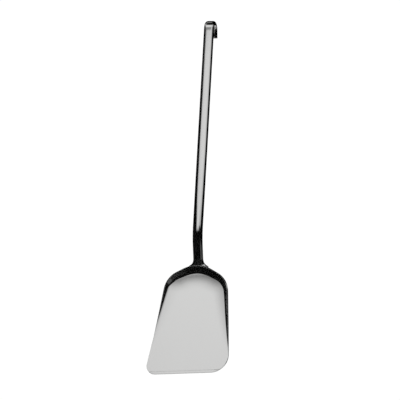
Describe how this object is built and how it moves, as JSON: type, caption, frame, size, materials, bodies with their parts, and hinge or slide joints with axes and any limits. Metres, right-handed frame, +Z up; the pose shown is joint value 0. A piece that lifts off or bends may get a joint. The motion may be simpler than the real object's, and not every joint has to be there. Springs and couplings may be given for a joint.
{
  "type": "serving spatula",
  "caption": "Rigid steel serving spatula: a flat scoop blade with a raised rim, a slim welded bar handle angled upward, and a hanging hook at its end.",
  "frame": {"origin": "centre of the blade's flat underside, half way between its front edge and its rear apex", "axes": "+Z up from the underside through the food side, +Y from the blade's front edge to the hook, +X to the right when the handle points away"},
  "size_m": [0.0825, 0.3615, 0.0768],
  "materials": {
    "blade_steel": "polished stainless steel sheet, softly reflective",
    "handle_steel": "polished stainless steel bar, softly reflective",
    "weld_steel": "weld ground smooth and polished with the pieces it joins"
  },
  "bodies": {
    "root": {"blade": "blade_steel", "handle": "handle_steel", "weld": "weld_steel"}
  },
  "joints": []
}
